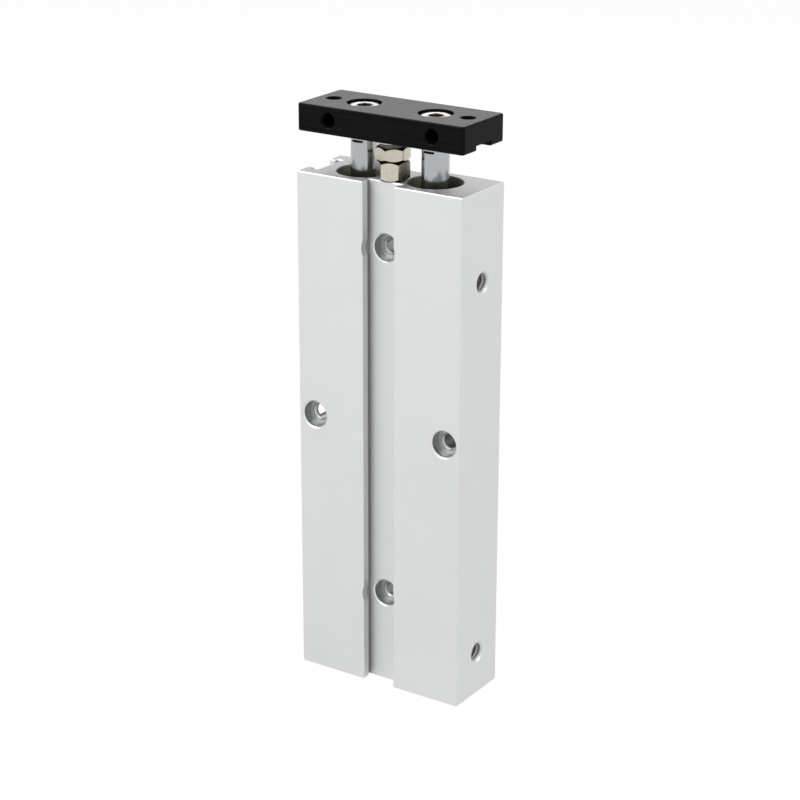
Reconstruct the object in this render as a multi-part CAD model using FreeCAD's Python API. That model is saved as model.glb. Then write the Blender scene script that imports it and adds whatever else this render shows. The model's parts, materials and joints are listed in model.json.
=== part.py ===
import FreeCAD, Part
import os
from math import cos, radians, sin, sqrt, tan

# Guided pneumatic cylinder with two bores side by side in one extruded block.
# Millimetres. Origin at the centre of the block's bottom face, +X across the two bores towards
# the air ports, -Y towards the front face, +Z along the rods towards the end plate.
# The rest pose is fully retracted: the stop bolt's head stands on the block.

# --- block ---
stroke = 80.0
body_width = 56.0
body_depth = 22.25
body_corner = 0.5             # radius of the four long outer edges
end_chamfer = 0.3             # broken edge round both sawn ends
bore_diameter = 16.0
bore_pitch = 24.0             # between the two bore axes

channel_opening = 10.4        # T channels in the front and back faces
channel_lip = 2.4
channel_undercut = 0.7
channel_depth = 3.9
slot_opening = 10.4           # T slot for switches in the left face
slot_lip = 2.0
slot_undercut = 1.2
slot_depth = 4.1
lip_edge = 0.4                # radius of the lips' outer edges

hole_diameter = 4.3           # through holes, front to back, counterbored from both faces
counterbore_diameter = 8.0
counterbore_depth = 3.3
mouth_chamfer = 0.4
seat_chamfer = 0.6            # where the hole opens into the counterbore's floor
side_hole_pitch = 45.0
rear_hole_height = 28.5       # lower channel hole above the bottom face
front_hole_margin = 19.5      # upper channel hole below the top face
lip_clearance_diameter = 11.4  # tool clearance cut through the channel lips

port_drill = 4.2
port_mouth = 6.6
rear_port_margin = 3.6        # each cover's inner end to its port's axis
front_port_margin = 3.8
passage_diameter = 3.0        # air passage through the web between the bores

# --- end closures, one set per bore ---
cover_fit = 0.02              # radial clearance of a cover in its bore
ring_thickness = 1.0          # internal snap rings
ring_groove_depth = 0.4
ring_axial_play = 0.05
ring_width = 1.5
ring_gap_angle = 40.0
lug_radius = 1.25
lug_hole_diameter = 1.2
front_recess = 5.0            # top face of the block to the front snap ring
rear_recess = 1.4

front_cover_length = 17.0
front_nose_length = 10.2
nose_diameter = 12.4          # leaves a ring of space for the air at each port
rear_cover_length = 7.5
rear_boss_length = 7.3
rear_dish_diameter = 9.0
rear_dish_depth = 1.2
oring_section = 1.5
oring_groove_width = 2.0
front_oring_margin = 5.0      # front cover's inner end to its O-ring
oring_play = 0.02

rod_diameter = 8.0
rod_running = 0.03            # radial running clearance in the bushes
seal_running = 0.05           # radial gap left at every sliding seal lip
bush_wall = 1.0
rod_seal_diameter = 12.4
rod_seal_height = 3.2
seal_retainer = 1.0           # rim that keeps the rod seal in its groove
seal_retainer_diameter = 9.6
lip_spread = 0.2              # how far a seal's lips flare past its heel
lip_thickness = 0.55
lip_heel = 1.2                # solid part of a seal's section
cover_web = 2.2               # wall between the bush and the rod seal
cover_hole_play = 0.25

# --- pistons ---
piston_length = 21.0
piston_play = 0.2             # radial gap between the piston's metal and the bore
bumper_stand = 1.5            # how far each bumper stands out of the piston's face
bumper_seat = 0.8
bumper_inner_diameter = 8.6
rear_cushion_gap = 0.8        # bumper to rear cover while the stop bolt holds the load
front_cushion_gap = 0.3       # bumper to front cover at full stroke
piston_land = 1.6
piston_seal_height = 2.6
piston_seal_depth = 2.1
wear_ring_height = 3.0
wear_ring_depth = 1.0
wear_ring_running = 0.03
wear_ring_gap = 0.6
magnet_height = 5.0
magnet_depth = 2.5
magnet_cover = 0.3            # magnet sits this far below the piston's skin
groove_play = 0.05
spigot_diameter = 5.6
spigot_length = 9.0
thread_play = 0.03
piston_screw_diameter = 4.0
piston_screw_head_diameter = 7.0
piston_screw_head_height = 4.0
piston_screw_head_play = 0.3
piston_screw_recess = 0.4
piston_screw_key = 3.0
piston_screw_grip = 8.0       # thread inside the rod's end

# --- end plate and what bolts to it ---
plate_width = 55.5
plate_depth = 21.5
plate_height = 8.0
plate_corner = 1.0
plate_edge = 0.5
plate_groove_depth = 1.5      # long groove in which the rod ends sit
plate_groove_play = 0.02
plate_top_margin = 5.25       # the plate's ends to the tapped holes in its top
plate_front_pitch = 34.5
plate_thread_drill = 4.2
plate_thread_mouth = 4.8
plate_front_thread_depth = 6.0

plate_screw_diameter = 5.0
plate_screw_head_diameter = 8.5
plate_screw_head_height = 3.6
plate_screw_recess = 0.55
plate_screw_key = 4.0
plate_screw_key_depth = 2.0
plate_screw_hole = 5.4
plate_screw_counterbore = 10.2
plate_screw_grip = 10.0
screw_edge = 0.3

rod_flats = 7.0               # wrench flats under the plate
rod_flat_reach = 2.8          # how far they run below the plate
rod_chamfer = 0.4

stop_offset = -3.4            # stop bolt axis, towards the front face
stop_hex = 8.8                # across flats, bolt head and lock nut
stop_thread = 5.0
stop_head_height = 5.6
stop_nut_height = 4.0
stop_head_turn = 20.8         # how the two hexagons happen to stand, degrees about Z
stop_nut_turn = -23.4
stop_thread_reach = 5.5       # thread inside the plate
stop_drill_extra = 1.0
hex_chamfer = 0.5
hex_chamfer_angle = 40.0
spring_washer_diameter = 7.8
spring_washer_thickness = 1.3
spring_washer_gap = 0.8
spring_washer_lean = 25.0
flat_washer_diameter = 10.0
flat_washer_thickness = 0.8
washer_hole_play = 0.15

# --- heights along the rods: the block is as long as what its bores hold, plus the stroke ---
bore_radius = bore_diameter / 2
rod_radius = rod_diameter / 2
rear_ring_top = rear_recess + ring_thickness
rear_cover_top = rear_ring_top + rear_cover_length
boss_tip = rear_cover_top + rear_boss_length
piston_base = boss_tip + rear_cushion_gap + bumper_stand
piston_top = piston_base + piston_length
nose_tip = piston_top + bumper_stand + front_cushion_gap + stroke
front_cover_base = nose_tip + front_nose_length
front_cover_top = front_cover_base + front_cover_length
front_ring_top = front_cover_top + ring_thickness
body_length = front_ring_top + front_recess

front_hole_height = body_length - front_hole_margin
side_hole_height = (rear_hole_height + front_hole_height) / 2
rear_port_height = rear_cover_top + rear_port_margin
front_port_height = front_cover_base - front_port_margin

plate_bottom = (body_length + stop_head_height + stop_nut_height
                + spring_washer_thickness + flat_washer_thickness)
plate_top = plate_bottom + plate_height
groove_ceiling = plate_bottom + plate_groove_depth

eps = 1.0                     # overrun of a cutting tool past an open face


def at(x, y, z):
    return FreeCAD.Vector(x, y, z)


def post(radius, low, high, x=0.0, y=0.0):
    """Upright cylinder between two heights."""
    return Part.makeCylinder(radius, high - low, at(x, y, low))


def drill(radius, start, direction, depth):
    return Part.makeCylinder(radius, depth, start, direction)


def block(low, high):
    size = [b - a for a, b in zip(low, high)]
    return Part.makeBox(*size, at(*low))


def turned(points):
    """Solid of revolution about Z from (radius, height) corners."""
    corners = [at(r, 0, z) for r, z in points]
    face = Part.Face(Part.makePolygon(corners + corners[:1]))
    return face.revolve(at(0, 0, 0), at(0, 0, 1), 360)


def collar(outer, inner, low, high):
    return turned([(inner, low), (outer, low), (outer, high), (inner, high)])


def countersink(mouth_radius, hole_radius, mouth, direction):
    """45 degree cone that breaks the edge of a hole; direction points into the metal."""
    depth = mouth_radius - hole_radius
    return Part.makeCone(mouth_radius, hole_radius, depth, mouth, direction)


def hexagon(across_flats, low, high, turn=0.0, y=0.0):
    """Hexagonal prism; turn is the angle of its first corner from +X."""
    radius = across_flats / sqrt(3)
    angles = [radians(turn + 60 * k) for k in range(7)]
    corners = [at(radius * cos(a), y + radius * sin(a), low) for a in angles]
    return Part.Face(Part.makePolygon(corners)).extrude(at(0, 0, high - low))


def beside(shape, side):
    """Copy of a shape made on the Z axis, moved onto the left (-1) or right (+1) bore axis."""
    copy = shape.copy()
    copy.translate(at(side * bore_pitch / 2, 0, 0))
    return copy


# ---------------------------------------------------------------- block

def t_channel(opening, undercut, lip, depth, low, high):
    """Cutter for a T channel that enters along +Y from the plane Y = 0."""
    half, wide = opening / 2, opening / 2 + undercut
    mouth = block((-half, -eps, low), (half, lip + eps, high))
    tee = block((-wide, lip, low), (wide, depth, high))
    return mouth.fuse(tee)


def lip_edges(bar):
    """Long edges where the channels and the slot open into the outer faces."""
    half_w, half_d = body_width / 2, body_depth / 2
    mouths = [at(side * channel_opening / 2, face * half_d, 0) for side in (-1, 1) for face in (-1, 1)]
    mouths += [at(-half_w, side * slot_opening / 2, 0) for side in (-1, 1)]
    found = []
    for edge in bar.Edges:
        foot = at(edge.Vertexes[0].X, edge.Vertexes[0].Y, 0)
        if any(foot.isEqual(mouth, 1e-6) for mouth in mouths) and edge.BoundBox.ZLength > eps:
            found.append(edge)
    return found


def extrusion():
    half_w, half_d = body_width / 2, body_depth / 2
    bar = block((-half_w, -half_d, 0), (half_w, half_d, body_length))
    long_edges = [e for e in bar.Edges if abs(e.Vertexes[0].Z - e.Vertexes[1].Z) > eps]
    bar = bar.makeFillet(body_corner, long_edges)
    low, high = -eps, body_length + eps
    front = t_channel(channel_opening, channel_undercut, channel_lip, channel_depth, low, high)
    back = front.copy()
    back.rotate(at(0, 0, 0), at(0, 0, 1), 180)
    front.translate(at(0, -half_d, 0))
    back.translate(at(0, half_d, 0))
    slot = t_channel(slot_opening, slot_undercut, slot_lip, slot_depth, low, high)
    slot.rotate(at(0, 0, 0), at(0, 0, 1), -90)
    slot.translate(at(-half_w, 0, 0))
    bar = bar.cut([front, back, slot])
    bar = bar.makeFillet(lip_edge, lip_edges(bar))
    ends = [e for e in bar.Edges
            if max(v.Z for v in e.Vertexes) < eps / 2 or min(v.Z for v in e.Vertexes) > body_length - eps / 2]
    return bar.makeChamfer(end_chamfer, ends)


def snap_groove(low):
    """Cutter for a snap ring groove whose lower side is at this height."""
    return post(bore_radius + ring_groove_depth, low, low + ring_thickness + 2 * ring_axial_play)


def bore_tools(side):
    x = side * bore_pitch / 2
    up, down = at(0, 0, 1), at(0, 0, -1)
    tools = [post(bore_radius, -eps, body_length + eps, x),
             countersink(bore_radius + end_chamfer, bore_radius, at(x, 0, 0), up),
             countersink(bore_radius + end_chamfer, bore_radius, at(x, 0, body_length), down)]
    for low in (rear_recess, front_cover_top):
        tools.append(beside(snap_groove(low - ring_axial_play), side))
    return tools


def counterbored_hole(x, height, face_depth):
    """Through hole along Y, counterbored from two faces that lie face_depth inside the block."""
    surface = body_depth / 2 - face_depth
    tools = [drill(hole_diameter / 2, at(x, -surface, height), at(0, 1, 0), 2 * surface)]
    for sign in (-1, 1):
        inward = at(0, -sign, 0)
        outside = at(x, sign * (surface + eps), height)
        tools.append(drill(counterbore_diameter / 2, outside, inward, eps + counterbore_depth))
        mouth = at(x, sign * surface, height)
        rim = counterbore_diameter / 2
        tools.append(countersink(rim + mouth_chamfer, rim, mouth, inward))
        seat = at(x, sign * (surface - counterbore_depth), height)
        tools.append(countersink(hole_diameter / 2 + seat_chamfer, hole_diameter / 2, seat, inward))
    return tools


def lip_clearance(height):
    """Two round cuts that let a bolt head or a socket wrench past the channel lips."""
    radius, outer = lip_clearance_diameter / 2, body_depth / 2 + eps
    depth = channel_depth + eps
    return [drill(radius, at(0, sign * outer, height), at(0, -sign, 0), depth) for sign in (-1, 1)]


def port_tools(height):
    """Tapped air port in the right face, and the passage on to the left bore."""
    face = at(body_width / 2, 0, height)
    inward = at(-1, 0, 0)
    depth = (body_width - bore_pitch) / 2
    return [drill(port_drill / 2, face, inward, depth),
            countersink(port_mouth / 2, port_drill / 2, face, inward),
            drill(passage_diameter / 2, at(bore_pitch / 2, 0, height), inward, bore_pitch)]


def cylinder_body():
    tools = []
    for side in (-1, 1):
        tools += bore_tools(side)
        tools += counterbored_hole(side * side_hole_pitch / 2, side_hole_height, 0.0)
    for height in (rear_hole_height, front_hole_height):
        tools += counterbored_hole(0.0, height, channel_depth)
        tools += lip_clearance(height)
    for height in (rear_port_height, front_port_height):
        tools += port_tools(height)
    return extrusion().cut(tools)


# ---------------------------------------------------------------- end closures

def snap_ring(low):
    """Internal snap ring with two drilled lugs, its gap towards the front face."""
    outer = bore_radius + ring_groove_depth - ring_axial_play
    inner = outer - ring_width
    high = low + ring_thickness
    ring = collar(outer, inner, low, high)
    half = radians(ring_gap_angle / 2)
    reach = 2 * outer
    corners = [at(0, 0, low), at(-reach * tan(half), -reach, low), at(reach * tan(half), -reach, low)]
    gap = Part.Face(Part.makePolygon(corners + corners[:1])).extrude(at(0, 0, ring_thickness))
    ring = ring.cut(gap)
    seat = inner - lug_radius / 2
    turn = half + lug_radius / inner
    for sign in (-1, 1):
        x, y = sign * seat * sin(turn), -seat * cos(turn)
        ring = ring.fuse(post(lug_radius, low, high, x, y))
    for sign in (-1, 1):
        x, y = sign * seat * sin(turn), -seat * cos(turn)
        ring = ring.cut(post(lug_hole_diameter / 2, low - eps, high + eps, x, y))
    return ring.removeSplitter()


def oring(middle):
    """O-ring lying in its groove, centred on this height."""
    floor = bore_radius - oring_section - oring_play
    section = (bore_radius + floor) / 2
    return Part.makeTorus(section, oring_section / 2, at(0, 0, middle))


def oring_groove(middle):
    floor = bore_radius - oring_section - 2 * oring_play
    return collar(bore_radius + eps, floor, middle - oring_groove_width / 2, middle + oring_groove_width / 2)


front_oring_height = front_cover_base + front_oring_margin
rear_oring_height = (rear_ring_top + rear_cover_top) / 2
seal_ceiling = front_cover_top - seal_retainer
seal_floor = seal_ceiling - rod_seal_height - groove_play
bush_top = seal_floor - cover_web
bush_radius = rod_radius + rod_running + bush_wall


def front_cover():
    body = post(bore_radius - cover_fit, front_cover_base, front_cover_top)
    nose = post(nose_diameter / 2, nose_tip, front_cover_base)
    cover = body.fuse(nose)
    tools = [post(bush_radius, nose_tip - eps, bush_top),
             post(rod_radius + cover_hole_play, bush_top - eps, seal_floor + eps),
             post(rod_seal_diameter / 2, seal_floor, seal_ceiling),
             post(seal_retainer_diameter / 2, seal_floor, front_cover_top + eps),
             oring_groove(front_oring_height)]
    return cover.cut(tools).removeSplitter()


def rod_bush():
    return collar(bush_radius, rod_radius + rod_running, nose_tip, bush_top)


def lip_seal(outer, inner, heel, crest):
    """U-cup: a solid heel at one height and two lips that end at the other."""
    way = 1 if crest > heel else -1
    waist = heel + way * lip_heel
    middle = (outer + inner) / 2
    return turned([(inner + lip_spread, heel), (outer - lip_spread, heel), (outer - lip_spread, waist),
                   (outer, crest), (outer - lip_thickness, crest), (middle, waist),
                   (inner + lip_thickness, crest), (inner, crest), (inner + lip_spread, waist)])


def rod_seal():
    return lip_seal(rod_seal_diameter / 2, rod_radius + seal_running, seal_floor + rod_seal_height, seal_floor)


def rear_cover():
    body = post(bore_radius - cover_fit, rear_ring_top, rear_cover_top)
    boss = post(nose_diameter / 2, rear_cover_top, boss_tip)
    dish = post(rear_dish_diameter / 2, rear_ring_top - eps, rear_ring_top + rear_dish_depth)
    return body.fuse(boss).cut([dish, oring_groove(rear_oring_height)]).removeSplitter()


# ---------------------------------------------------------------- pistons

piston_radius = bore_radius - piston_play
seal_rear_low = piston_base + piston_land
seal_front_low = piston_top - piston_land - piston_seal_height
magnet_low = (piston_base + piston_top) / 2 - magnet_height
wear_low = magnet_low + magnet_height + piston_land
screw_seat = piston_base + piston_screw_recess + piston_screw_head_height
bumper_outer = nose_diameter / 2


def piston_groove(low, height, depth):
    return collar(bore_radius + eps, bore_radius - depth, low - groove_play, low + height + groove_play)


def bumper(face, outward):
    """Cushion ring let into a face of the piston; outward is +1 at the front, -1 at the rear."""
    sunk, proud = face - outward * bumper_seat, face + outward * bumper_stand
    return collar(bumper_outer, bumper_inner_diameter / 2, min(sunk, proud), max(sunk, proud))


def bumper_pocket(face, outward):
    sunk, over = face - outward * bumper_seat, face + outward * eps
    return collar(bumper_outer, bumper_inner_diameter / 2, min(sunk, over), max(sunk, over))


def piston():
    head = piston_screw_head_diameter / 2 + piston_screw_head_play
    tools = [piston_groove(seal_rear_low, piston_seal_height, piston_seal_depth),
             piston_groove(seal_front_low, piston_seal_height, piston_seal_depth),
             piston_groove(magnet_low, magnet_height, magnet_depth),
             piston_groove(wear_low, wear_ring_height, wear_ring_depth),
             post(spigot_diameter / 2 + thread_play, piston_top - spigot_length - thread_play, piston_top + eps),
             post(piston_screw_diameter / 2 + cover_hole_play, piston_base, piston_top),
             post(head, piston_base - eps, screw_seat),
             bumper_pocket(piston_top, 1), bumper_pocket(piston_base, -1)]
    return post(piston_radius, piston_base, piston_top).cut(tools)


def piston_seal(low, upward):
    outer, inner = bore_radius - seal_running, bore_radius - piston_seal_depth
    high = low + piston_seal_height
    return lip_seal(outer, inner, low, high) if upward else lip_seal(outer, inner, high, low)


def piston_magnet():
    return collar(piston_radius - magnet_cover, bore_radius - magnet_depth, magnet_low, magnet_low + magnet_height)


def wear_ring():
    outer, inner = bore_radius - wear_ring_running, bore_radius - wear_ring_depth
    high = wear_low + wear_ring_height
    half = wear_ring_gap / 2
    slit = block((-half, inner - eps, wear_low - eps), (half, outer + eps, high + eps))
    return collar(outer, inner, wear_low, high).cut(slit)


def socket_screw(radius, head_radius, seat, head_top, tip, key, key_depth):
    """Socket head screw on the Z axis; the head lies between seat and head_top, either way up."""
    shank = post(radius, min(seat, tip), max(seat, tip))
    head = post(head_radius, min(seat, head_top), max(seat, head_top))
    rim = head.Edges[0] if abs(head.Edges[0].BoundBox.ZMax - head_top) < 1e-6 else head.Edges[2]
    head = head.makeChamfer(screw_edge, [rim])
    way = 1 if head_top < seat else -1
    floor = head_top + way * key_depth
    socket = hexagon(key, min(head_top, floor), max(head_top, floor))
    return head.fuse(shank).cut(socket)


def piston_screw():
    tip = piston_top - spigot_length + piston_screw_grip
    return socket_screw(piston_screw_diameter / 2, piston_screw_head_diameter / 2, screw_seat,
                        screw_seat - piston_screw_head_height, tip, piston_screw_key,
                        piston_screw_head_height / 2)


# ---------------------------------------------------------------- rods and end plate

def piston_rod():
    rod = post(rod_radius, piston_top, groove_ceiling)
    rims = [e for e in rod.Edges if e.BoundBox.ZLength < 1e-6]
    rod = rod.makeChamfer(rod_chamfer, rims)
    rod = rod.fuse(post(spigot_diameter / 2, piston_top - spigot_length, piston_top + rod_chamfer))
    flat_low = plate_bottom - rod_flat_reach
    tools = []
    for sign in (-1, 1):
        near, far = sorted((sign * rod_flats / 2, sign * rod_diameter))
        tools.append(block((-rod_diameter, near, flat_low), (rod_diameter, far, groove_ceiling + eps)))
    thread = plate_screw_diameter / 2 + thread_play
    tools.append(post(thread, groove_ceiling - plate_screw_grip - eps, groove_ceiling + eps))
    thread = piston_screw_diameter / 2 + thread_play
    low = piston_top - spigot_length
    tools.append(post(thread, low - eps, low + piston_screw_grip + eps))
    return rod.cut(tools)


plate_screw_seat = plate_top - plate_screw_recess - plate_screw_head_height


def rounded_plate():
    half_w, half_d = plate_width / 2, plate_depth / 2
    plate = block((-half_w, -half_d, plate_bottom), (half_w, half_d, plate_top))
    upright = [e for e in plate.Edges if e.BoundBox.ZLength > plate_height / 2]
    plate = plate.makeFillet(plate_corner, upright)
    rims = [e for e in plate.Edges if e.BoundBox.ZLength < plate_height / 2]
    return plate.makeFillet(plate_edge, rims)


def plate_thread(mouth, direction, depth):
    drill_radius, mouth_radius = plate_thread_drill / 2, plate_thread_mouth / 2
    return [drill(drill_radius, mouth, direction, depth), countersink(mouth_radius, drill_radius, mouth, direction)]


def end_plate():
    half_groove = rod_radius + plate_groove_play
    reach = plate_width / 2 + eps
    tools = [block((-reach, -half_groove, plate_bottom - eps), (reach, half_groove, groove_ceiling))]
    for side in (-1, 1):
        x = side * bore_pitch / 2
        tools.append(post(plate_screw_hole / 2, plate_bottom, plate_top, x))
        tools.append(post(plate_screw_counterbore / 2, plate_screw_seat, plate_top + eps, x))
        x = side * (plate_width / 2 - plate_top_margin)
        tools += plate_thread(at(x, 0, plate_top), at(0, 0, -1), plate_height)
        x = side * plate_front_pitch / 2
        middle = (plate_bottom + plate_top) / 2
        tools += plate_thread(at(x, -plate_depth / 2, middle), at(0, 1, 0), plate_front_thread_depth)
    thread = stop_thread / 2 + thread_play
    top = plate_bottom + stop_thread_reach + stop_drill_extra
    tools.append(post(thread, plate_bottom - eps, top, 0, stop_offset))
    return rounded_plate().cut(tools)


def plate_screw():
    tip = groove_ceiling - plate_screw_grip
    return socket_screw(plate_screw_diameter / 2, plate_screw_head_diameter / 2, plate_screw_seat,
                        plate_top - plate_screw_recess, tip, plate_screw_key, plate_screw_key_depth)


# ---------------------------------------------------------------- stop bolt set

stop_head_top = body_length + stop_head_height
stop_nut_top = stop_head_top + stop_nut_height
spring_washer_top = stop_nut_top + spring_washer_thickness


def chamfered_hexagon(low, high, turn):
    """Hexagon whose corners are turned off at both ends, as on a bolt head or nut."""
    corner = stop_hex / sqrt(3) + hex_chamfer
    face = stop_hex / 2 - hex_chamfer / 2
    drop = (corner - face) * tan(radians(hex_chamfer_angle))
    barrel = turned([(0, low), (face, low), (corner, low + drop), (corner, high - drop), (face, high), (0, high)])
    barrel.translate(at(0, stop_offset, 0))
    return hexagon(stop_hex, low, high, turn, stop_offset).common(barrel)


def stop_bolt():
    head = chamfered_hexagon(body_length, stop_head_top, stop_head_turn)
    tip = plate_bottom + stop_thread_reach
    return head.fuse(post(stop_thread / 2, stop_head_top, tip, 0, stop_offset))


def stop_lock_nut():
    hole = post(stop_thread / 2 + thread_play, stop_head_top - eps, stop_nut_top + eps, 0, stop_offset)
    return chamfered_hexagon(stop_head_top, stop_nut_top, stop_nut_turn).cut(hole)


def stop_spring_washer():
    """Flattened split washer; the slit leans, so the two ends bite."""
    outer, inner = spring_washer_diameter / 2, stop_thread / 2 + thread_play
    ring = collar(outer, inner, stop_nut_top, spring_washer_top)
    middle = (stop_nut_top + spring_washer_top) / 2
    half = spring_washer_gap / 2
    slit = block((-half, 0, middle - outer), (half, 2 * outer, middle + outer))
    slit.rotate(at(0, 0, middle), at(0, 1, 0), spring_washer_lean)
    ring = ring.cut(slit)
    ring.translate(at(0, stop_offset, 0))
    return ring


def stop_flat_washer():
    ring = collar(flat_washer_diameter / 2, stop_thread / 2 + washer_hole_play, spring_washer_top, plate_bottom)
    ring.translate(at(0, stop_offset, 0))
    return ring


# ---------------------------------------------------------------- assembly

def single_pieces():
    return {"cylinder_body": cylinder_body(), "end_plate": end_plate(), "stop_bolt": stop_bolt(),
            "stop_lock_nut": stop_lock_nut(), "stop_spring_washer": stop_spring_washer(),
            "stop_flat_washer": stop_flat_washer()}


def paired_pieces():
    """Pieces that each bore has one of, made on the Z axis."""
    return {"front_snap_ring": snap_ring(front_cover_top), "front_cover": front_cover(),
            "front_cover_oring": oring(front_oring_height), "rod_bush": rod_bush(), "rod_seal": rod_seal(),
            "rear_snap_ring": snap_ring(rear_recess), "rear_cover": rear_cover(),
            "rear_cover_oring": oring(rear_oring_height),
            "piston": piston(), "piston_rear_seal": piston_seal(seal_rear_low, False),
            "piston_front_seal": piston_seal(seal_front_low, True), "piston_magnet": piston_magnet(),
            "piston_wear_ring": wear_ring(), "piston_rear_bumper": bumper(piston_base, -1),
            "piston_front_bumper": bumper(piston_top, 1), "piston_screw": piston_screw(),
            "piston_rod": piston_rod(), "plate_screw": plate_screw()}


def main():
    os.makedirs("parts", exist_ok=True)
    pieces = single_pieces()
    for name, shape in paired_pieces().items():
        pieces[name + "_left"] = beside(shape, -1)
        pieces[name + "_right"] = beside(shape, 1)
    for name, shape in pieces.items():
        shape.exportStep("parts/" + name + ".step")
        print(name, "valid" if shape.isValid() else "INVALID", len(shape.Solids), round(shape.Volume, 2))


main()
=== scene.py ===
import json
import math

import bmesh
import bpy
from mathutils import Matrix, Vector


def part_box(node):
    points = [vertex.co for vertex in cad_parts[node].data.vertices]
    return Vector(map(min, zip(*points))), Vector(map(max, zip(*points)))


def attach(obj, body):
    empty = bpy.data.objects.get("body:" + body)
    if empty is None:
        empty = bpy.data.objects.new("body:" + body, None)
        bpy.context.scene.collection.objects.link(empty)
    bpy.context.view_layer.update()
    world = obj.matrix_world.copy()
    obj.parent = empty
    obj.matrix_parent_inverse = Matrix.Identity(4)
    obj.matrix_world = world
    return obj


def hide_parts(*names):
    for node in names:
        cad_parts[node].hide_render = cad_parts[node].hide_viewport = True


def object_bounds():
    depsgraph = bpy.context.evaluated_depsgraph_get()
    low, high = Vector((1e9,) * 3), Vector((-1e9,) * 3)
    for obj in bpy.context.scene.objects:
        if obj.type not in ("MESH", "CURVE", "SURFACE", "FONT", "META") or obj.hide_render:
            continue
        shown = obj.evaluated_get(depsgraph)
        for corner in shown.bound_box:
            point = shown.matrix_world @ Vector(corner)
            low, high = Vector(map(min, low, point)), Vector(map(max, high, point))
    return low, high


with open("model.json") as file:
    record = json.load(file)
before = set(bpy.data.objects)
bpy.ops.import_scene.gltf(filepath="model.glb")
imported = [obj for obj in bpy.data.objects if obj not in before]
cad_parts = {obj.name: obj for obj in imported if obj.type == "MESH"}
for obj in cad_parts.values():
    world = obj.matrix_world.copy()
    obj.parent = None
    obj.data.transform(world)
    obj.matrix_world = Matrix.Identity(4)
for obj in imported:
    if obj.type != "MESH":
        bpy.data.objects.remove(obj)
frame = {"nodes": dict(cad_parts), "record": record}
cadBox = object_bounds()
scene = bpy.context.scene
mm = 0.001
fullTurn = 2 * math.pi
weldGap = 0.001 * mm                          # points nearer than this become one
maskEdge = 0.03 * mm                          # over which a mask falls off
noiseRange = (0.3, 0.7)                       # what a noise mostly keeps to
print("frame loaded:", len(frame["nodes"]), "nodes")


class Field:                                  # a socket that Python arithmetic can use
    def __init__(self, graph, socket):
        self.graph = graph
        self.socket = socket

    def __add__(self, other):
        return self.graph.math("ADD", self, other)

    def __sub__(self, other):
        return self.graph.math("SUBTRACT", self, other)

    def __rsub__(self, other):
        return self.graph.math("SUBTRACT", other, self)

    def __mul__(self, other):
        return self.graph.math("MULTIPLY", self, other)

    def __truediv__(self, other):
        return self.graph.math("DIVIDE", self, other)

    def __rtruediv__(self, other):
        return self.graph.math("DIVIDE", other, self)

    def __neg__(self):
        return self * -1.0

    def __abs__(self):
        return self.graph.math("ABSOLUTE", self)

    __radd__ = __add__
    __rmul__ = __mul__


class Graph:                                  # one node tree, for a material or for Geometry Nodes
    def __init__(self, tree):
        self.tree = tree

    def node(self, kind, settings=None, sockets=None):
        made = self.tree.nodes.new(kind)
        for key, value in (settings or {}).items():
            setattr(made, key, value)
        for key, value in (sockets or {}).items():
            self.feed(made.inputs[key], value)
        return made

    def feed(self, socket, value):
        if isinstance(value, Field):
            self.tree.links.new(value.socket, socket)
        elif isinstance(value, bpy.types.NodeSocket):
            self.tree.links.new(value, socket)
        elif value is not None:
            socket.default_value = value

    def out(self, made, name=0):
        return Field(self, made.outputs[name])

    def math(self, operation, *values):
        made = self.node("ShaderNodeMath", {"operation": operation})
        for socket, value in zip(made.inputs, values):
            self.feed(socket, value)
        return self.out(made)

    def span(self, first, second):            # the length of two steps at right angles
        return self.math("SQRT", first * first + second * second)

    # maps one range to another and holds the value at its ends
    def spread(self, value, low, high, newLow=0.0, newHigh=1.0):
        sockets = {"Value": value, "From Min": low, "From Max": high, "To Min": newLow, "To Max": newHigh}
        return self.out(self.node("ShaderNodeMapRange", {"clamp": True}, sockets))


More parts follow.
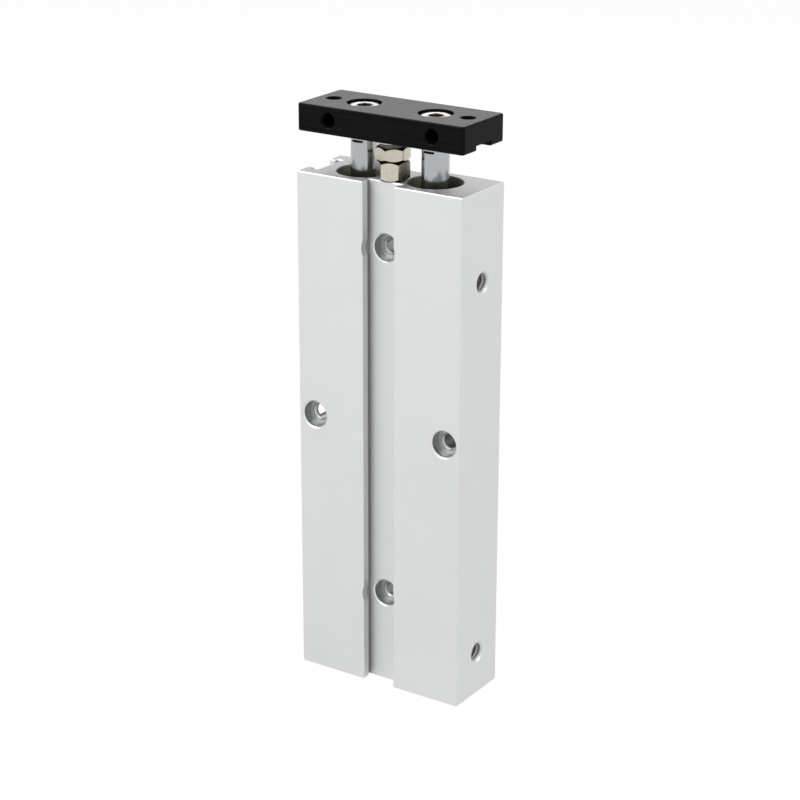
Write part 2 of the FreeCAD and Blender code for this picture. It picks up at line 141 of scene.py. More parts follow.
class ShapeTree(Graph):                       # a Geometry Nodes tree whose sizes are named inputs
    def __init__(self, name, sizes):
        super().__init__(bpy.data.node_groups.new(name, "GeometryNodeTree"))
        self.sizes = sizes
        self.identifiers = {}
        interface = self.tree.interface
        interface.new_socket("Geometry", in_out="OUTPUT", socket_type="NodeSocketGeometry")
        for key, value in sizes.items():
            kind = "NodeSocketVector" if isinstance(value, tuple) else "NodeSocketFloat"
            socket = interface.new_socket(key, in_out="INPUT", socket_type=kind)
            self.identifiers[key] = socket.identifier
        self.given = self.node("NodeGroupInput")
        self.result = self.node("NodeGroupOutput")

    def size(self, key):
        return Field(self, self.given.outputs[key])

    def pick(self, index, values):            # the value of each row, by the row's number
        made = self.node("GeometryNodeIndexSwitch", {"data_type": "FLOAT"}, {"Index": index})
        while len(made.index_switch_items) < len(values):
            made.index_switch_items.new()
        for socket, value in zip(list(made.inputs)[1:], values):
            self.feed(socket, value)
        return self.out(made)

    def rowAndColumn(self, columns):          # where each point stands in a grid
        index = self.out(self.node("GeometryNodeInputIndex"))
        row = self.math("FLOOR", (index + 0.5) / columns)
        return row, index - row * columns

    # a grid whose points are carried to their places round Z
    def wrapped(self, rows, columns, radius, turn, height):
        grid = self.node("GeometryNodeMeshGrid", None, {"Vertices X": rows, "Vertices Y": columns})
        across = {"X": radius * self.math("COSINE", turn), "Y": radius * self.math("SINE", turn), "Z": height}
        place = self.node("ShaderNodeCombineXYZ", None, across)
        sockets = {"Geometry": grid.outputs[0], "Position": place.outputs[0]}
        moved = self.node("GeometryNodeSetPosition", None, sockets)
        sockets = {"Geometry": moved.outputs[0], "Distance": weldGap}
        return self.out(self.node("GeometryNodeMergeByDistance", None, sockets))

    # profile(turn) gives rows of radius and height, from the top down over the outside
    def lathed(self, profile, sectors, start=0.0):
        row, column = self.rowAndColumn(sectors + 1)
        turn = column * (fullTurn / sectors) + start
        rows = profile(turn)
        radius = self.pick(row, [radius for radius, height in rows])
        height = self.pick(row, [height for radius, height in rows])
        return self.wrapped(len(rows), sectors + 1, radius, turn, height)

    def hexRadius(self, acrossFlats, turn, start=0.0):       # of a hexagon whose first corner is at start
        hair = 0.0001                         # keeps a corner's point off the jump between two flats
        part = self.math("FLOORED_MODULO", turn - start + hair, fullTurn / 6)
        return acrossFlats * 0.5 / self.math("COSINE", part - (fullTurn / 12 + hair))

    def creased(self, shape, degrees):        # smooth faces, sharp where they meet at more than this angle
        smooth = self.node("GeometryNodeSetShadeSmooth", {"domain": "FACE"}, {"Geometry": shape})
        bend = self.out(self.node("GeometryNodeInputMeshEdgeAngle"))
        sharp = self.math("GREATER_THAN", bend, math.radians(degrees))
        edges = {"Geometry": smooth.outputs[0], "Selection": sharp, "Shade Smooth": False}
        return self.out(self.node("GeometryNodeSetShadeSmooth", {"domain": "EDGE"}, edges))

    def copies(self, shape, start, step, turn=None):         # two copies, a step apart
        line = self.node("GeometryNodeMeshLine", None, {"Count": 2, "Start Location": start, "Offset": step})
        spots = {"Points": line.outputs[0], "Instance": shape, "Rotation": turn}
        return self.out(self.node("GeometryNodeInstanceOnPoints", None, spots))

    def piece(self, name, shape, material):   # runs the tree once and keeps its plain mesh
        real = self.node("GeometryNodeRealizeInstances", None, {"Geometry": shape})
        sockets = {"Geometry": real.outputs[0], "Material": material}
        dressed = self.node("GeometryNodeSetMaterial", None, sockets)
        self.feed(self.result.inputs[0], dressed.outputs[0])
        carrier = bpy.data.objects.new(name, bpy.data.meshes.new(name + "Base"))
        scene.collection.objects.link(carrier)
        modifier = carrier.modifiers.new("shape", "NODES")
        modifier.node_group = self.tree
        for key, value in self.sizes.items():
            modifier[self.identifiers[key]] = value
        depsgraph = bpy.context.evaluated_depsgraph_get()
        mesh = bpy.data.meshes.new_from_object(carrier.evaluated_get(depsgraph), depsgraph=depsgraph)
        mesh.name = name
        carrier.modifiers.remove(modifier)
        carrier.data = mesh
        return carrier


def rgb(red, green, blue):
    return (red, green, blue, 1.0)


def shaded(colour, factor):
    return rgb(*[part * factor for part in colour])


class Finish(Graph):                          # a material with Principled already joined to its output
    def __init__(self, name, **constants):
        self.material = bpy.data.materials.new(name)
        self.material.use_nodes = True
        super().__init__(self.material.node_tree)
        self.shader = self.tree.nodes["Principled BSDF"]
        coordinates = self.node("ShaderNodeTexCoord")
        self.place = self.out(coordinates, "Object")
        self.normal = self.out(coordinates, "Normal")
        for key, value in constants.items():
            self.set(key, value)

    def set(self, name, value):
        self.feed(self.shader.inputs[name], value)

    def axes(self, vector):
        parts = self.node("ShaderNodeSeparateXYZ", None, {"Vector": vector})
        return [self.out(parts, name) for name in "XYZ"]

    def flatness(self):                       # 1 where a face looks straight up or down, 0 where it stands
        return abs(self.axes(self.normal)[2])

    def noise(self, scale, detail, at=None):
        sockets = {"Vector": at or self.place, "Scale": scale, "Detail": detail}
        return self.out(self.node("ShaderNodeTexNoise", None, sockets), "Fac")

    def streaks(self, scale, detail=2.0):     # noise drawn out into lines, in cycles per metre
        mapping = self.node("ShaderNodeMapping", None, {"Vector": self.place, "Scale": scale})
        return self.noise(1.0, detail, self.out(mapping))

    def even(self, noise, low=0.0, high=1.0):                # stretches a noise between two values
        return self.spread(noise, *noiseRange, low, high)

    def above(self, value, low):
        return self.spread(value, low - maskEdge, low)

    def below(self, value, high):
        return self.spread(value, high, high + maskEdge, 1.0, 0.0)

    def between(self, value, low, high):
        return self.above(value, low) * self.below(value, high)

    def mix(self, factor, first, second):     # its sockets go by number, because their names repeat
        made = self.node("ShaderNodeMix", {"data_type": "RGBA"})
        for number, value in ((0, factor), (6, first), (7, second)):
            self.feed(made.inputs[number], value)
        return self.out(made, 2)

    def tones(self, factor, colour, shades):  # between two shades of one colour
        return self.mix(factor, *[shaded(colour, shade) for shade in shades])

    def bump(self, height, distance, strength):
        sockets = {"Height": height, "Distance": distance, "Strength": strength}
        self.set("Normal", self.out(self.node("ShaderNodeBump", None, sockets)))


def middle(node):
    low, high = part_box(node)
    return (Vector(low) + Vector(high)) / 2


boreOffset = middle("piston_rod_right").x     # each bore's axis from the block's middle
bodyHigh = Vector(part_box("cylinder_body")[1])
plateLow, plateHigh = [Vector(corner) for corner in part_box("end_plate")]
mounts = {mount["name"]: mount for mount in frame["record"]["mounts"]}
ports = [Vector(mounts[name]["pos_m"]) for name in ("lower_air_port", "upper_air_port")]
portStart = Vector((bodyHigh.x, 0, ports[0].z))
portStep = ports[1] - ports[0]

# a tone or a shade multiplies its colour; from, darkest, skip and end are depths below a hole's mouth
blockLook = {
    "colour": (0.643, 0.655, 0.65), "tones": (0.96, 1.0), "roughness": (0.45, 0.55), "metallic": 0.7,
    "grain": 9000.0, "patches": 60.0, "drawLines": (2600.0, 2600.0, 14.0), "bump": (0.02 * mm, 0.35),
    # the ends' darker colour is painted shade; their saw lines are real
    "ends": {"colour": (0.31, 0.315, 0.315), "tones": (0.85, 1.1), "lean": (0.85, 0.95),
             "sawLines": (60.0, 3600.0, 60.0)},
    # the bore grows darker with depth by painted shade
    "bore": {"colour": (0.17, 0.175, 0.125), "tones": (0.8, 1.15), "mask": 8.2 * mm, "from": 0.5 * mm,
             "darkest": 4.0 * mm, "shade": 0.3},
    # the port's shade is painted shade
    "port": {"mask": 3.2 * mm, "skip": 0.15 * mm, "from": 0.5 * mm, "darkest": 3.2 * mm, "end": 9.0 * mm,
             "shade": 0.10},
    # the wall and ring shades are painted shade, the rim highlight painted light
    "counterbore": {"colour": (0.50, 0.51, 0.51), "tones": (1.0, 1.16), "polish": 0.16, "radius": 4.0 * mm,
                    "mask": 4.3 * mm, "band": 0.06 * mm, "slack": 0.005 * mm, "ring": 2.65 * mm,
                    "ringWidth": 0.14 * mm, "wallShade": 0.66, "rimHighlight": 1.5, "ringShade": 0.45},
    # the undercut's darker tones are painted shade
    "undercut": {"from": 5.25 * mm, "width": 1.0 * mm, "lip": 2.3 * mm, "depth": 2.0 * mm,
                 "tones": (0.6365, 0.67)}}


def holeMasks(finish, x, z):                  # the counterbored holes, then their wall, rim and floor ring, where shade and a highlight are painted
    look, sides, web = blockLook["counterbore"], mounts["side_bolt_holes"], mounts["channel_bolt_holes"]
    fromMiddle = z - sides["pos_m"][2]
    fromSide = abs(x) - sides["dims"]["spacing_x_mm"] * mm / 2
    fromWeb = abs(fromMiddle) - web["dims"]["spacing_y_mm"] * mm / 2
    reach = finish.math("MINIMUM", finish.span(fromSide, fromMiddle), finish.span(x, fromWeb))
    wall = finish.between(reach, look["radius"] - look["band"], look["radius"] + look["slack"])
    rim = finish.between(reach, look["radius"] + look["band"], look["mask"])
    ring = finish.between(reach, look["ring"], look["ring"] + look["ringWidth"])
    return finish.below(reach, look["mask"]), wall, rim, ring


def paintedHoleShade(finish, place, face, look):     # painted shade in a hole: from 0 near its mouth to 1 where it is darkest
    return finish.spread(place, face - look["darkest"], face - look["from"], 1.0, 0.0)


def portShadeMask(finish, x, y, z):                # painted shade, growing with the depth in the two air ports
    look, face = blockLook["port"], bodyHigh.x
    fromPort = abs(z - (ports[0].z + ports[1].z) / 2) - portStep.z / 2
    inPort = finish.below(finish.span(fromPort, y), look["mask"])
    inPort = inPort * finish.between(x, face - look["end"], face - look["skip"])
    return inPort * paintedHoleShade(finish, x, face, look)


def clearAnodised():                          # blasted extrusion, drawn lines, sawn ends, machined holes; painted shade on the ends, undercuts, bores, ports and counterbores, painted highlight on counterbore rims
    look = blockLook
    ends, bore, hole, under = [look[key] for key in ("ends", "bore", "counterbore", "undercut")]
    finish = Finish("clearAnodised")
    x, y, z = finish.axes(finish.place)
    inHole, wall, rim, ring = holeMasks(finish, x, z)
    inBore = finish.below(finish.span(abs(x) - boreOffset, y), bore["mask"])
    inUndercut = finish.between(abs(x), under["from"], under["from"] + under["width"])
    inUndercut = inUndercut * finish.between(bodyHigh.y - abs(y), under["lip"], under["lip"] + under["depth"])
    onEnd = finish.spread(finish.flatness(), *ends["lean"])
    grain = finish.noise(look["grain"], 2.0)
    lines = finish.streaks(look["drawLines"])
    tone = finish.even(finish.noise(look["patches"], 4.0) * 0.6 + grain * 0.4)
    colour = finish.tones(tone, look["colour"], look["tones"])
    # painted shade in the channel's undercuts
    undercutShade = finish.tones(tone, look["colour"], under["tones"])
    # the sawn ends: real saw lines, with a darker colour that is painted shade
    sawnShadedEnds = finish.tones(finish.streaks(ends["sawLines"]), ends["colour"], ends["tones"])
    # machined tone, with painted shade on the wall and floor ring and a painted highlight on the rim
    machinedShadeAndHighlight = finish.tones(grain, hole["colour"], hole["tones"])
    for mask, shade in ((wall, hole["wallShade"]), (rim, hole["rimHighlight"]), (ring, hole["ringShade"])):
        machinedShadeAndHighlight = finish.mix(mask, machinedShadeAndHighlight, shaded(hole["colour"], shade))
    # the bore's own colour, with painted shade that deepens below the mouth
    boredAndShaded = finish.tones(grain, bore["colour"], bore["tones"])
    boredAndShaded = finish.mix(paintedHoleShade(finish, z, bodyHigh.z, bore), boredAndShaded, shaded(bore["colour"], bore["shade"]))
    # painted shade deep in the air ports
    portShade = shaded(look["colour"], look["port"]["shade"])
    for mask, other in ((inUndercut, undercutShade), (inHole, machinedShadeAndHighlight), (onEnd, sawnShadedEnds), (inBore, boredAndShaded),
                        (portShadeMask(finish, x, y, z), portShade)):
        colour = finish.mix(mask, colour, other)
    finish.set("Base Color", colour)
    worn = finish.even(grain * 0.5 + lines * 0.5, *look["roughness"])
    finish.set("Roughness", worn - inHole * hole["polish"])
    finish.set("Metallic", look["metallic"] * (1.0 - inBore))
    finish.bump(grain * 0.7 + lines * 0.3, *look["bump"])
    return finish.material


plateLook = {"colour": (0.0022, 0.0022, 0.0026), "tones": (0.8, 1.8), "roughness": (0.24, 0.36),
             "specular": 0.052, "toolMarks": (40.0, 2200.0, 2200.0), "contrast": (0.35, 0.65),
             "grain": 7000.0, "bump": (0.02 * mm, 0.3)}


def blackAnodised():                          # milled and dyed black, with faint cutter marks along the plate
    look = plateLook
    finish = Finish("blackAnodised", Metallic=0.0)
    finish.set("Specular IOR Level", look["specular"])
    marks = finish.streaks(look["toolMarks"], 3.0)
    cut = finish.spread(marks, *look["contrast"])
    worn = finish.noise(look["grain"], 2.0) * 0.5 + marks * 0.5
    finish.set("Base Color", finish.tones(cut, look["colour"], look["tones"]))
    finish.set("Roughness", finish.even(worn, *look["roughness"]))
    finish.bump(worn, *look["bump"])
    return finish.material


rodLook = {"colour": (0.455, 0.468, 0.49), "tones": (0.92, 1.0), "roughness": (0.09, 0.18),
           "grindMarks": (60.0, 60.0, 12000.0), "clouds": 140.0, "bump": (0.006 * mm, 0.9),
           # the shoulder's dark line is painted shadow
           "shoulder": {"depth": 2.8 * mm, "line": 0.55 * mm, "start": 0.02 * mm, "flat": 3.42 * mm,
                        "halfWidth": 1.8 * mm, "shade": 0.02}}


def hardChrome():                             # ground and polished, with a painted shadow line at the foot of the flats
    look, shoulder = rodLook, rodLook["shoulder"]
    finish = Finish("hardChrome", Metallic=1.0)
    x, y, z = finish.axes(finish.place)
    marks = finish.streaks(look["grindMarks"])
    # painted shadow line where the flats meet the round rod
    ledge = plateLow.z - shoulder["depth"]
    line = finish.between(z, ledge - shoulder["start"], ledge + shoulder["line"])
    line = line * finish.above(abs(y), shoulder["flat"])
    line = line * finish.below(abs(abs(x) - boreOffset), shoulder["halfWidth"])
    tone = finish.tones(finish.noise(look["clouds"], 3.0), look["colour"], look["tones"])
    finish.set("Base Color", finish.mix(line, tone, shaded(look["colour"], shoulder["shade"])))
    finish.set("Roughness", finish.even(marks, *look["roughness"]))
    finish.bump(marks, *look["bump"])
    return finish.material


nickelLook = {"colour": (0.625, 0.58, 0.49), "tones": (0.86, 1.0), "roughness": (0.21, 0.35),
              "dents": 700.0, "grain": 9000.0, "bump": (0.04 * mm, 0.3),
              "screwColour": (0.43, 0.40, 0.37), "screwFade": 1.0 * mm,
              # the bevel shade is painted shadow under the plate
              "bevel": {"lean": (0.2, 0.97), "shade": 0.05},
              # the key shade is painted shade in the screw sockets
              "key": {"radius": 2.3 * mm, "depth": 5.0 * mm, "skip": 0.1 * mm, "shade": 0.28}}


def brightNickel():                           # plated fasteners, warm, with the forging's soft unevenness, and painted shade on the bevels under the plate and in the screw sockets
    look, bevel, key = nickelLook, nickelLook["bevel"], nickelLook["key"]
    finish = Finish("brightNickel", Metallic=1.0)
    x, y, z = finish.axes(finish.place)
    dents = finish.noise(look["dents"], 3.0)
    grain = finish.noise(look["grain"], 2.0)
    onScrew = finish.spread(z, plateLow.z, plateLow.z + look["screwFade"])
    # painted shadow on the bevels of the stop bolt and nut
    onBevel = finish.between(finish.flatness(), *bevel["lean"]) * (1.0 - onScrew)
    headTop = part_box("plate_screw_right")[1][2]
    # painted shade inside the screws' hex sockets
    inKey = finish.below(finish.span(abs(x) - boreOffset, y), key["radius"]) * onScrew
    inKey = inKey * finish.between(z, headTop - key["depth"], headTop - key["skip"])
    tone = finish.tones(finish.even(dents), look["colour"], look["tones"])
    tone = finish.mix(onBevel, tone, shaded(look["colour"], bevel["shade"]))
    tone = finish.mix(onScrew, tone, shaded(look["screwColour"], 1.0))
    finish.set("Base Color", finish.mix(inKey, tone, shaded(look["colour"], key["shade"])))
    finish.set("Roughness", finish.even(dents * 0.5 + grain * 0.5, *look["roughness"]))
    finish.bump(dents * 0.8 + grain * 0.2, *look["bump"])
    return finish.material


innerLook = {"tones": (0.85, 1.0), "wear": 0.06, "grain": 5000.0, "bump": (0.02 * mm, 0.3),
             "latheRings": (80.0, 80.0, 3000.0), "mouldRings": (80.0, 80.0, 900.0)}


def turned(name, colour, roughness, metallic=1.0, rings=innerLook["latheRings"]):        # small inner pieces
    look = innerLook
    finish = Finish(name, Metallic=metallic)
    marks = finish.streaks(rings)
    grain = finish.noise(look["grain"], 2.0)
    finish.set("Base Color", finish.tones(finish.even(marks * 0.6 + grain * 0.4), colour, look["tones"]))
    finish.set("Roughness", finish.even(grain, roughness - look["wear"], roughness + look["wear"]))
    finish.bump(marks * 0.7 + grain * 0.3, *look["bump"])
    return finish.material


def moulded(name, colour, roughness):         # rubber and plastic, with the mould's wider rings
    return turned(name, colour, roughness, 0.0, innerLook["mouldRings"])


finishes = {
    "clear_anodised_body": clearAnodised(),
    "black_anodised_plate": blackAnodised(),
    "chromed_rod": hardChrome(),
    "nickel_fastener": brightNickel(),
    "dark_spring_steel": turned("phosphatedSteel", (0.10, 0.10, 0.095), 0.42),
    "cover_aluminium": turned("coverAluminium", (0.16, 0.16, 0.12), 0.40),
    "bush_bronze": turned("sinteredBronze", (0.55, 0.38, 0.18), 0.50),
    "piston_aluminium": turned("pistonAluminium", (0.62, 0.62, 0.60), 0.32),
    "seal_rubber": moulded("sealRubber", (0.022, 0.022, 0.022), 0.50),
    "bumper_rubber": moulded("bumperRubber", (0.35, 0.24, 0.08), 0.45),
    "bonded_magnet": moulded("bondedMagnet", (0.05, 0.05, 0.055), 0.55),
    "wear_ring_plastic": moulded("wearRingPlastic", (0.55, 0.49, 0.36), 0.45),
}
for subpart in frame["record"]["subparts"]:
    nodeMesh = frame["nodes"][subpart["node"]].data
    nodeMesh.materials.clear()
    nodeMesh.materials.append(finishes[subpart["material_slot"]])
print("finishes made:", len(finishes))


def carried(piece, body, slot, *nodes):       # a piece rides on its body and may stand for CAD nodes
    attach(piece, body)
    if nodes:
        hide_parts(*nodes)


hexLook = {"acrossFlats": 8.8 * mm, "faceRadius": 4.15 * mm, "cornerRadius": 5.0 * mm, "slope": 0.84,
           "headTurn": math.radians(20.8), "nutTurn": math.radians(-23.4), "shankRadius": 2.5 * mm,
           "shankEdge": 0.3 * mm, "holeRadius": 2.53 * mm, "holeEdge": 0.3 * mm, "sectors": 96, "crease": 25}


def hexSides(tree, turn, low, high, start):   # the two rows of a hexagon's side, with turned-off corners
    full = tree.hexRadius(tree.size("acrossFlats"), turn, start)
    radius = tree.math("MINIMUM", full, tree.size("cornerRadius"))
    drop = (radius - tree.size("faceRadius")) * hexLook["slope"]
    return [(radius, high - drop), (radius, low + drop)]


def boltRows(tree, turn):                     # the shank from its tip down, then the head under the nut
    low, tip, face = tree.size("low"), tree.size("high"), tree.size("faceRadius")
    shank, edge, top = hexLook["shankRadius"], hexLook["shankEdge"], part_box("stop_lock_nut")[0][2]
    return [(0.0, tip), (shank - edge, tip), (shank, tip - edge), (shank, top), (face, top),
            *hexSides(tree, turn, low, top, hexLook["headTurn"]), (face, low), (0.0, low)]


def nutRows(tree, turn):                      # over the outside, then back up through the hole
    low, high, face = tree.size("low"), tree.size("high"), tree.size("faceRadius")
    hole, edge = hexLook["holeRadius"], hexLook["holeEdge"]
    return [(hole, high - edge), (hole + edge, high), (face, high),
            *hexSides(tree, turn, low, high, hexLook["nutTurn"]),
            (face, low), (hole + edge, low), (hole, low + edge), (hole, high - edge)]


def makeHexPiece(name, node, rows, start):
    low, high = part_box(node)
    sizes = {key: hexLook[key] for key in ("acrossFlats", "faceRadius", "cornerRadius")}
    axis = (middle(node).x, middle(node).y, 0.0)
    tree = ShapeTree(name + "Tree", dict(sizes, low=low[2], high=high[2], axis=axis))
    shape = tree.lathed(lambda turn: rows(tree, turn), hexLook["sectors"], start)
    moved = tree.node("GeometryNodeTransform", None, {"Geometry": shape, "Translation": tree.size("axis")})
    piece = tree.piece(name, tree.creased(tree.out(moved), hexLook["crease"]), finishes["nickel_fastener"])
    carried(piece, "carriage", "nickel_fastener", node)


screwLook = {"headRadius": 4.25 * mm, "shankRadius": 2.5 * mm, "headHeight": 3.6 * mm, "key": 4.0 * mm,
             "keyDepth": 2.0 * mm, "floorShare": 0.47, "drillPoint": 0.7 * mm, "mouthRadius": 2.45 * mm,
             "mouthSlope": 0.577, "edge": 0.35 * mm, "sectors": 96, "crease": 32}


def makePlateScrews():                        # low head socket screws that hold the plate on the rods
    look = screwLook
    low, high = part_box("plate_screw_left")
    start, end = middle("plate_screw_left"), middle("plate_screw_right")
    keys = ("headRadius", "shankRadius", "headHeight", "key", "keyDepth", "mouthRadius", "edge")
    sizes = {key: look[key] for key in keys}
    sizes.update(length=high[2] - low[2], first=(start.x, start.y, high[2]), step=tuple(end - start))
    tree = ShapeTree("plateScrewTree", sizes)
    head, shank, mouth = [tree.size(key) for key in ("headRadius", "shankRadius", "mouthRadius")]
    edge, floor = tree.size("edge"), -tree.size("keyDepth")
    seat, tip = -tree.size("headHeight"), -tree.size("length")
    corner = math.sin(math.pi / 4)            # how far the rounded rim's middle point goes

    def profile(turn):
        wall = tree.hexRadius(tree.size("key"), turn)
        return [(0.0, floor - look["drillPoint"]), (tree.size("key") * look["floorShare"], floor),
                (wall, floor), (wall, (wall - mouth) * look["mouthSlope"]), (mouth, 0.0), (head - edge, 0.0),
                (head - edge * (1 - corner), edge * (corner - 1)), (head, -edge), (head, seat),
                (shank, seat), (shank, tip + edge), (shank - edge, tip), (0.0, tip)]

    shape = tree.creased(tree.lathed(profile, look["sectors"]), look["crease"])
    both = tree.copies(shape, tree.size("first"), tree.size("step"))
    piece = tree.piece("plateScrews", both, finishes["nickel_fastener"])
    carried(piece, "carriage", "nickel_fastener", "plate_screw_left", "plate_screw_right")


makeHexPiece("stopBolt", "stop_bolt", boltRows, hexLook["headTurn"])
makeHexPiece("stopLockNut", "stop_lock_nut", nutRows, hexLook["nutTurn"])
makePlateScrews()
print("fasteners made")


def mergedCopy(node, name, move):             # a joined copy of a CAD node that keeps its shading normals
    source = frame["nodes"][node].data
    normals = [tuple(corner.vector) for corner in source.corner_normals]
    shell = bmesh.new()
    shell.from_mesh(source)
    kept = shell.loops.layers.float_vector.new("keptNormal")
    corners = (corner for face in shell.faces for corner in face.loops)
    for corner, normal in zip(corners, normals):
        corner[kept] = normal
    for vertex in shell.verts:
        vertex.co = move(vertex.co)
    bmesh.ops.remove_doubles(shell, verts=shell.verts, dist=weldGap)
    mesh = bpy.data.meshes.new(name)
    shell.to_mesh(mesh)
    shell.free()
    mesh.normals_split_custom_set([tuple(item.vector) for item in mesh.attributes["keptNormal"].data])
    mesh.attributes.remove(mesh.attributes["keptNormal"])
    mesh.materials.clear()
    piece = bpy.data.objects.new(name, mesh)
    scene.collection.objects.link(piece)
    return piece


# profile: each row's share of the pitch, and its share of the ridge's height; the feet lie inside the wall
threadLook = {"drill": 2.1 * mm, "sectors": 48, "turns": 5, "fade": 0.25, "crease": 60,
              "profile": ((0.0, -0.08), (0.10, -0.08), (0.48, 1.0), (0.60, 1.0), (1.0, -0.08))}
portLook = {"mouth": 3.3 * mm, "root": 2.95 * mm, "ridge": 0.42 * mm, "pitch": 1.0 * mm, "reach": 8.0 * mm,
            "rimDepth": (0.1 * mm, 2.0 * mm), "rimSlack": 0.01 * mm}
plateThreadLook = {"mouth": 2.4 * mm, "root": 2.1 * mm, "ridge": 0.24 * mm, "pitch": 0.8 * mm,
                   "reach": 8.0 * mm}


def openedPort(point):                        # moves the drill's rim in a port out to the thread's root
    look, drill = portLook, threadLook["drill"]
    nearest, deepest = look["rimDepth"]
    for mouth in (portStart, portStart + portStep):
        depth = mouth.x - point.x
        out = Vector((0, point.y - mouth.y, point.z - mouth.z))
        if nearest < depth < deepest and abs(out.length - drill) < look["rimSlack"]:
            return mouth + out.normalized() * look["root"] + Vector((look["root"] - look["mouth"], 0, 0))
    return point


def makeThreads(name, first, step, inwards, look, body, slot):           # the ridges of two like tapped holes
    turn = (-inwards).to_track_quat("Z", "Y").to_euler()
    sizes = {key: look[key] for key in ("root", "ridge", "pitch", "reach")}
    sizes.update(first=tuple(first), step=tuple(step), turn=tuple(turn), start=look["mouth"] - look["root"])
    tree = ShapeTree(name + "Tree", sizes)
    profile, turns, sectors = [threadLook[key] for key in ("profile", "turns", "sectors")]
    columns, fade = turns * sectors + 1, threadLook["fade"]
    row, column = tree.rowAndColumn(columns)
    along = column / sectors                  # turns since the mouth
    ends = tree.spread(along, 0.0, fade), tree.spread(along, turns - fade, turns, 1.0, 0.0)
    crest = tree.pick(row, [height for share, height in profile]) * tree.math("MINIMUM", *ends)
    share = tree.pick(row, [share for share, height in profile])
    down = (along + share) * tree.size("pitch") + tree.size("start")
    wall = tree.size("root") - (tree.size("root") - threadLook["drill"]) * down / tree.size("reach")
    ridges = tree.wrapped(len(profile), columns, wall - tree.size("ridge") * crest, along * -fullTurn, -down)
    shape = tree.creased(ridges, threadLook["crease"])
    both = tree.copies(shape, tree.size("first"), tree.size("step"), tree.size("turn"))
    carried(tree.piece(name, both, finishes[slot]), body, slot)


def makeTappedBlock():
    block = mergedCopy("cylinder_body", "cylinderBlock", openedPort)
    block.data.materials.append(finishes["clear_anodised_body"])
    carried(block, "barrel", "clear_anodised_body", "cylinder_body")
    inwards = Vector((-1, 0, 0))
    makeThreads("portThreads", portStart, portStep, inwards, portLook, "barrel", "clear_anodised_body")


def makePlateThreads():
    front, top = mounts["plate_front_threads"], mounts["plate_top_threads"]
    for name, mount, y, z, inwards in (("plateFrontThreads", front, plateLow.y, front["pos_m"][2], (0, 1, 0)),
                                       ("plateTopThreads", top, 0, plateHigh.z, (0, 0, -1))):
        span = mount["dims"]["spacing_x_mm"] * mm
        first, step = Vector((-span / 2, y, z)), Vector((span, 0, 0))
        makeThreads(name, first, step, Vector(inwards), plateThreadLook, "carriage", "black_anodised_plate")


makeTappedBlock()
makePlateThreads()
print("threads made")


studio = {"azimuth": 33.336, "elevation": 20.082, "roll": 0.1345, "distance": 0.6571, "lens": 100.75,
          "aimShift": (0.0003, 0.0, 0.00043), "clipStart": 0.01, "ambient": 0.56,
          "floorGlow": 0.95, "floorColour": (0.9, 0.9, 0.9), "floorReach": 3.0, "floorGap": 0.02 * mm}
lampLook = {"front": {"azimuth": -12.0, "elevation": 35.0, "reach": 0.9, "size": 0.5, "energy": 3.9},
            "side": {"azimuth": 108.0, "elevation": 30.0, "reach": 0.9, "size": 0.5, "energy": 2.7},
            "upper": {"azimuth": 62.0, "elevation": 52.0, "reach": 0.9, "size": 0.25, "energy": 0.4},
            "left": {"azimuth": -56.0, "elevation": 52.0, "reach": 0.9, "size": 0.25, "energy": 2.0},
            "back": {"azimuth": 205.0, "elevation": 35.0, "reach": 0.9, "size": 0.5, "energy": 1.6}}
boxMiddle = (cadBox[0] + cadBox[1]) / 2


def direction(look):                          # from the object outwards, its azimuth counted from -Y to +X
    turn, lift = math.radians(look["azimuth"]), math.radians(look["elevation"])
    return Vector((math.sin(turn) * math.cos(lift), -math.cos(turn) * math.cos(lift), math.sin(lift)))


def placed(name, data, centre, look, reach):  # an object that faces a centre from its own direction
    away = direction(look)
    made = bpy.data.objects.new(name, data)
    scene.collection.objects.link(made)
    made.location = centre + away * reach
    made.rotation_mode = "QUATERNION"
    made.rotation_quaternion = (-away).to_track_quat("-Z", "Y")
    return made


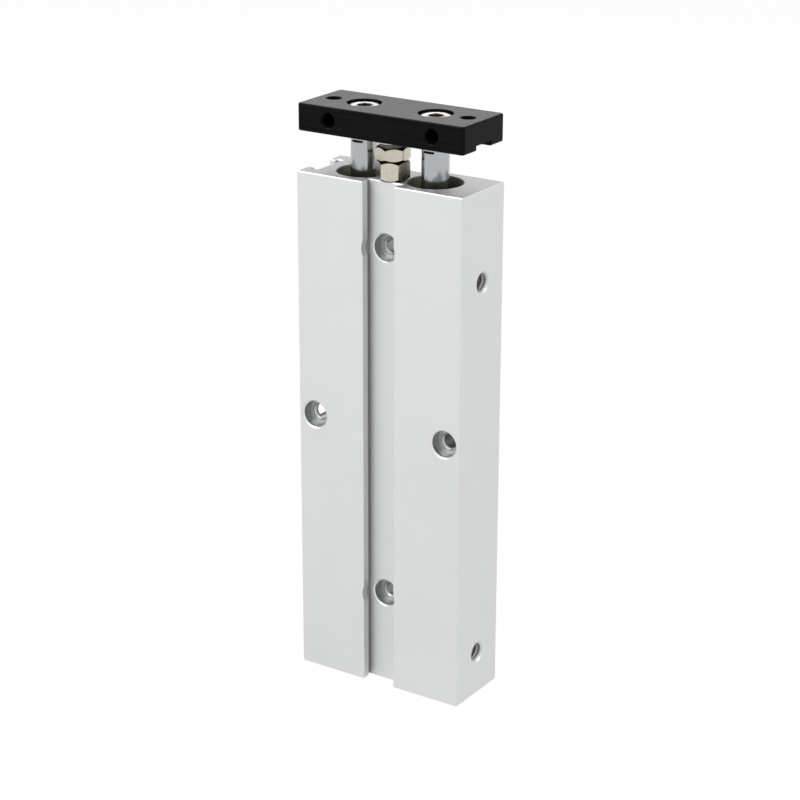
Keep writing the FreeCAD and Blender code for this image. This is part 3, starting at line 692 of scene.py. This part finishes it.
def makeCamera():
    data = bpy.data.cameras.new("camera")
    data.lens = studio["lens"]
    data.clip_start = studio["clipStart"]
    camera = placed("camera", data, boxMiddle + Vector(studio["aimShift"]), studio, studio["distance"])
    roll = Matrix.Rotation(math.radians(studio["roll"]), 3, "Z").to_quaternion()
    camera.rotation_quaternion = camera.rotation_quaternion @ roll
    scene.camera = camera


def makeLamp(name, look):
    data = bpy.data.lights.new(name, "AREA")
    data.shape = "SQUARE"
    data.size = look["size"]
    data.energy = look["energy"]
    placed(name, data, boxMiddle, look, look["reach"])


def seenRays(graph):                          # 1 for rays that show the background itself
    rays = graph.node("ShaderNodeLightPath")
    seen = graph.math("MAXIMUM", graph.out(rays, "Is Camera Ray"), graph.out(rays, "Is Glossy Ray"))
    return graph.math("MAXIMUM", seen, graph.out(rays, "Is Transmission Ray"))


def makeWorld():
    world = bpy.data.worlds.new("studioWorld")
    world.use_nodes = True
    scene.world = world
    graph = Graph(world.node_tree)
    background = world.node_tree.nodes["Background"]
    graph.feed(background.inputs["Color"], rgb(1, 1, 1))
    graph.feed(background.inputs["Strength"], seenRays(graph) * (1 - studio["ambient"]) + studio["ambient"])


def makeFloor():
    reach = studio["floorReach"]
    corners = [(-reach, -reach, 0), (reach, -reach, 0), (reach, reach, 0), (-reach, reach, 0)]
    mesh = bpy.data.meshes.new("floor")
    mesh.from_pydata(corners, [], [(0, 1, 2, 3)])
    floor = bpy.data.objects.new("floor", mesh)
    scene.collection.objects.link(floor)
    floor.location.z = cadBox[0].z - studio["floorGap"]
    finish = Finish("paleFloor", Roughness=0.9)
    finish.set("Base Color", rgb(*studio["floorColour"]))
    white = finish.node("ShaderNodeEmission", None, {"Color": rgb(1, 1, 1), "Strength": 1.0})
    glow = seenRays(finish) * studio["floorGlow"]
    sockets = {0: glow, 1: finish.shader.outputs[0], 2: white.outputs[0]}
    blend = finish.node("ShaderNodeMixShader", None, sockets)
    finish.feed(finish.tree.nodes["Material Output"].inputs["Surface"], blend.outputs[0])
    mesh.materials.append(finish.material)


scene.view_settings.view_transform = "Standard"
makeCamera()
makeWorld()
makeFloor()
for lampName, look in lampLook.items():
    makeLamp(lampName + "Lamp", look)
print("studio ready")
